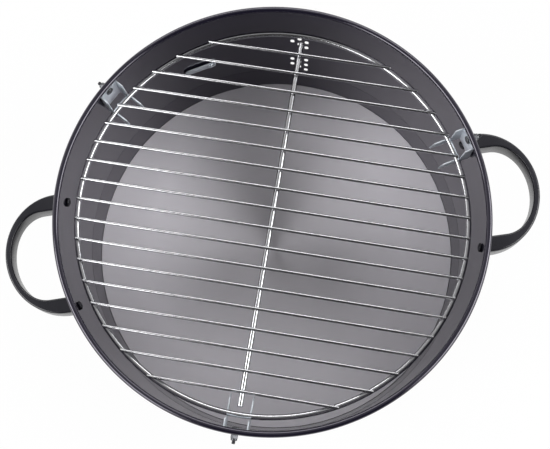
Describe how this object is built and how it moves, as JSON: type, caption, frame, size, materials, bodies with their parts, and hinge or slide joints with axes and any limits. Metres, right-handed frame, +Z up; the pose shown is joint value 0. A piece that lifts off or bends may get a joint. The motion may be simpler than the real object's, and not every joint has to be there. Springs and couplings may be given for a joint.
{
  "type": "portable charcoal grill",
  "caption": "Round portable charcoal grill: steel bowl with rolled rim and vent slots, lift-out wire cooking grate on wall brackets, loose fire plate and side loop handles.",
  "frame": {"origin": "on the floor, at the middle of the overall box, which is the bowl's axis", "axes": "+Z up along the bowl's axis; +X to the right handle; -Y is the near side in the picture"},
  "size_m": [0.441, 0.35, 0.175],
  "materials": {
    "black_enamel": "satin black heat-proof enamel",
    "pan_enamel": "satin black heat-proof enamel",
    "bare_steel": "bare, cloudy brushed",
    "chrome_wire": "bright plated",
    "zinc_plate": "bluish zinc plating",
    "screw_steel": "blackened",
    "handle_plastic": "smooth black, slightly glossy"
  },
  "bodies": {
    "bowl": {"bowl_wall": "black_enamel", "bottom_pan": "pan_enamel", "fire_plate": "bare_steel", "handle_left": "handle_plastic", "handle_right": "handle_plastic", "wall_clip": "zinc_plate", "wall_clip_rivet": "zinc_plate", "bracket_right": "zinc_plate", "bracket_screw_right": "zinc_plate", "bracket_nut_right": "zinc_plate", "bracket_rear": "zinc_plate", "bracket_screw_rear": "zinc_plate", "bracket_nut_rear": "zinc_plate", "bracket_front": "zinc_plate", "bracket_screw_front": "zinc_plate", "bracket_nut_front": "zinc_plate", "handle_screw_left_front": "screw_steel", "handle_screw_left_rear": "screw_steel", "handle_screw_right_front": "screw_steel", "handle_screw_right_rear": "screw_steel"},
    "grate": {"grate_ring": "chrome_wire", "grate_spine": "chrome_wire", "grate_bar_01": "chrome_wire", "grate_bar_02": "chrome_wire", "grate_bar_03": "chrome_wire", "grate_bar_04": "chrome_wire", "grate_bar_05": "chrome_wire", "grate_bar_06": "chrome_wire", "grate_bar_07": "chrome_wire", "grate_bar_08": "chrome_wire", "grate_bar_09": "chrome_wire", "grate_bar_10": "chrome_wire", "grate_bar_11": "chrome_wire", "grate_bar_12": "chrome_wire", "grate_bar_13": "chrome_wire", "grate_bar_14": "chrome_wire", "grate_bar_15": "chrome_wire", "grate_bar_16": "chrome_wire", "grate_bar_17": "chrome_wire", "grate_bar_18": "chrome_wire"}
  },
  "joints": [
    {"name": "grate_lift", "type": "slide", "parent": "bowl", "child": "grate", "axis": [0, 0, 1], "range_m": [0, 0.1]}
  ]
}
